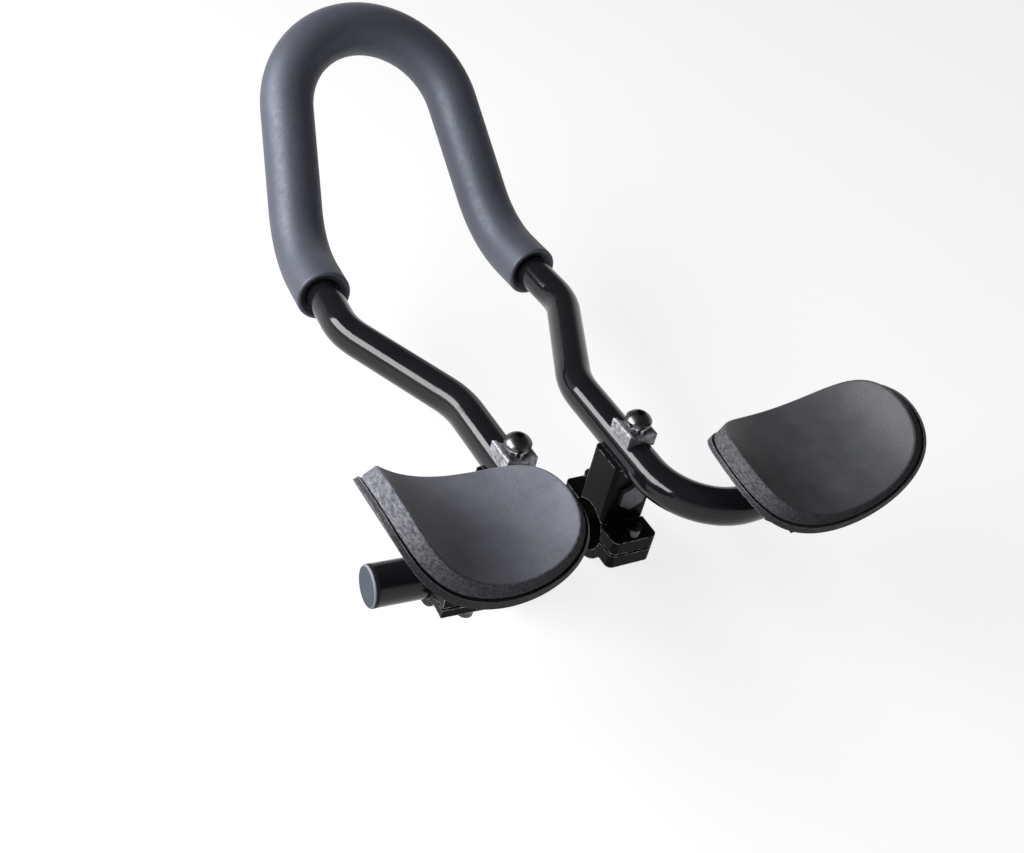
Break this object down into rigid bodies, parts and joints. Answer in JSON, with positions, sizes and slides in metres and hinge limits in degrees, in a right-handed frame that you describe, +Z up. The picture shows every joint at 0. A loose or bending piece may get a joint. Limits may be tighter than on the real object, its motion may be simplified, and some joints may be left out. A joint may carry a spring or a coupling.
{
  "type": "aero handlebar extension",
  "caption": "Bent tube extension for a bicycle handlebar: an upswept foam-covered loop in front, riser clamps for the bar and padded forearm rests behind.",
  "frame": {"origin": "on the handlebar axis, midway between the two clamps", "axes": "+X along the handlebar to the rider's right, +Y forward, +Z up, square to the plane of the tube's arms"},
  "size_m": [0.3333, 0.4655, 0.1972],
  "materials": {
    "tube_paint": "gloss",
    "grip_foam": "matt closed-cell foam",
    "plug_plastic": "smooth",
    "clamp_paint": "satin",
    "black_steel": "blackened",
    "dark_chrome": "polished",
    "bright_steel": "zinc plated",
    "bare_alloy": "as cast",
    "tray_plastic": "satin",
    "pad_foam": "grained skin on foam"
  },
  "bodies": {
    "root": {"main_tube": "tube_paint", "foam_grip": "grip_foam", "end_plug_left": "plug_plastic", "end_plug_right": "plug_plastic", "bar_clamp_upper_left": "clamp_paint", "bar_clamp_upper_right": "clamp_paint", "bar_clamp_lower_left": "clamp_paint", "bar_clamp_lower_right": "clamp_paint", "armrest_bracket_left": "clamp_paint", "armrest_bracket_right": "clamp_paint", "armrest_strap_left": "clamp_paint", "armrest_strap_right": "clamp_paint", "bar_clamp_bolts_left": "black_steel", "bar_clamp_bolts_right": "black_steel", "armrest_bolts_left": "black_steel", "armrest_bolts_right": "black_steel", "armrest_screws_left": "black_steel", "armrest_screws_right": "black_steel", "tube_bolt_left": "dark_chrome", "tube_bolt_right": "dark_chrome", "tube_bolt_washer_left": "bright_steel", "tube_bolt_washer_right": "bright_steel", "tube_bolt_collar_left": "bright_steel", "tube_bolt_collar_right": "bright_steel", "lock_screw_left": "bright_steel", "lock_screw_right": "bright_steel", "tube_saddle_left": "bare_alloy", "tube_saddle_right": "bare_alloy", "armrest_tray_left": "tray_plastic", "armrest_tray_right": "tray_plastic", "armrest_pad_left": "pad_foam", "armrest_pad_right": "pad_foam"}
  },
  "joints": []
}
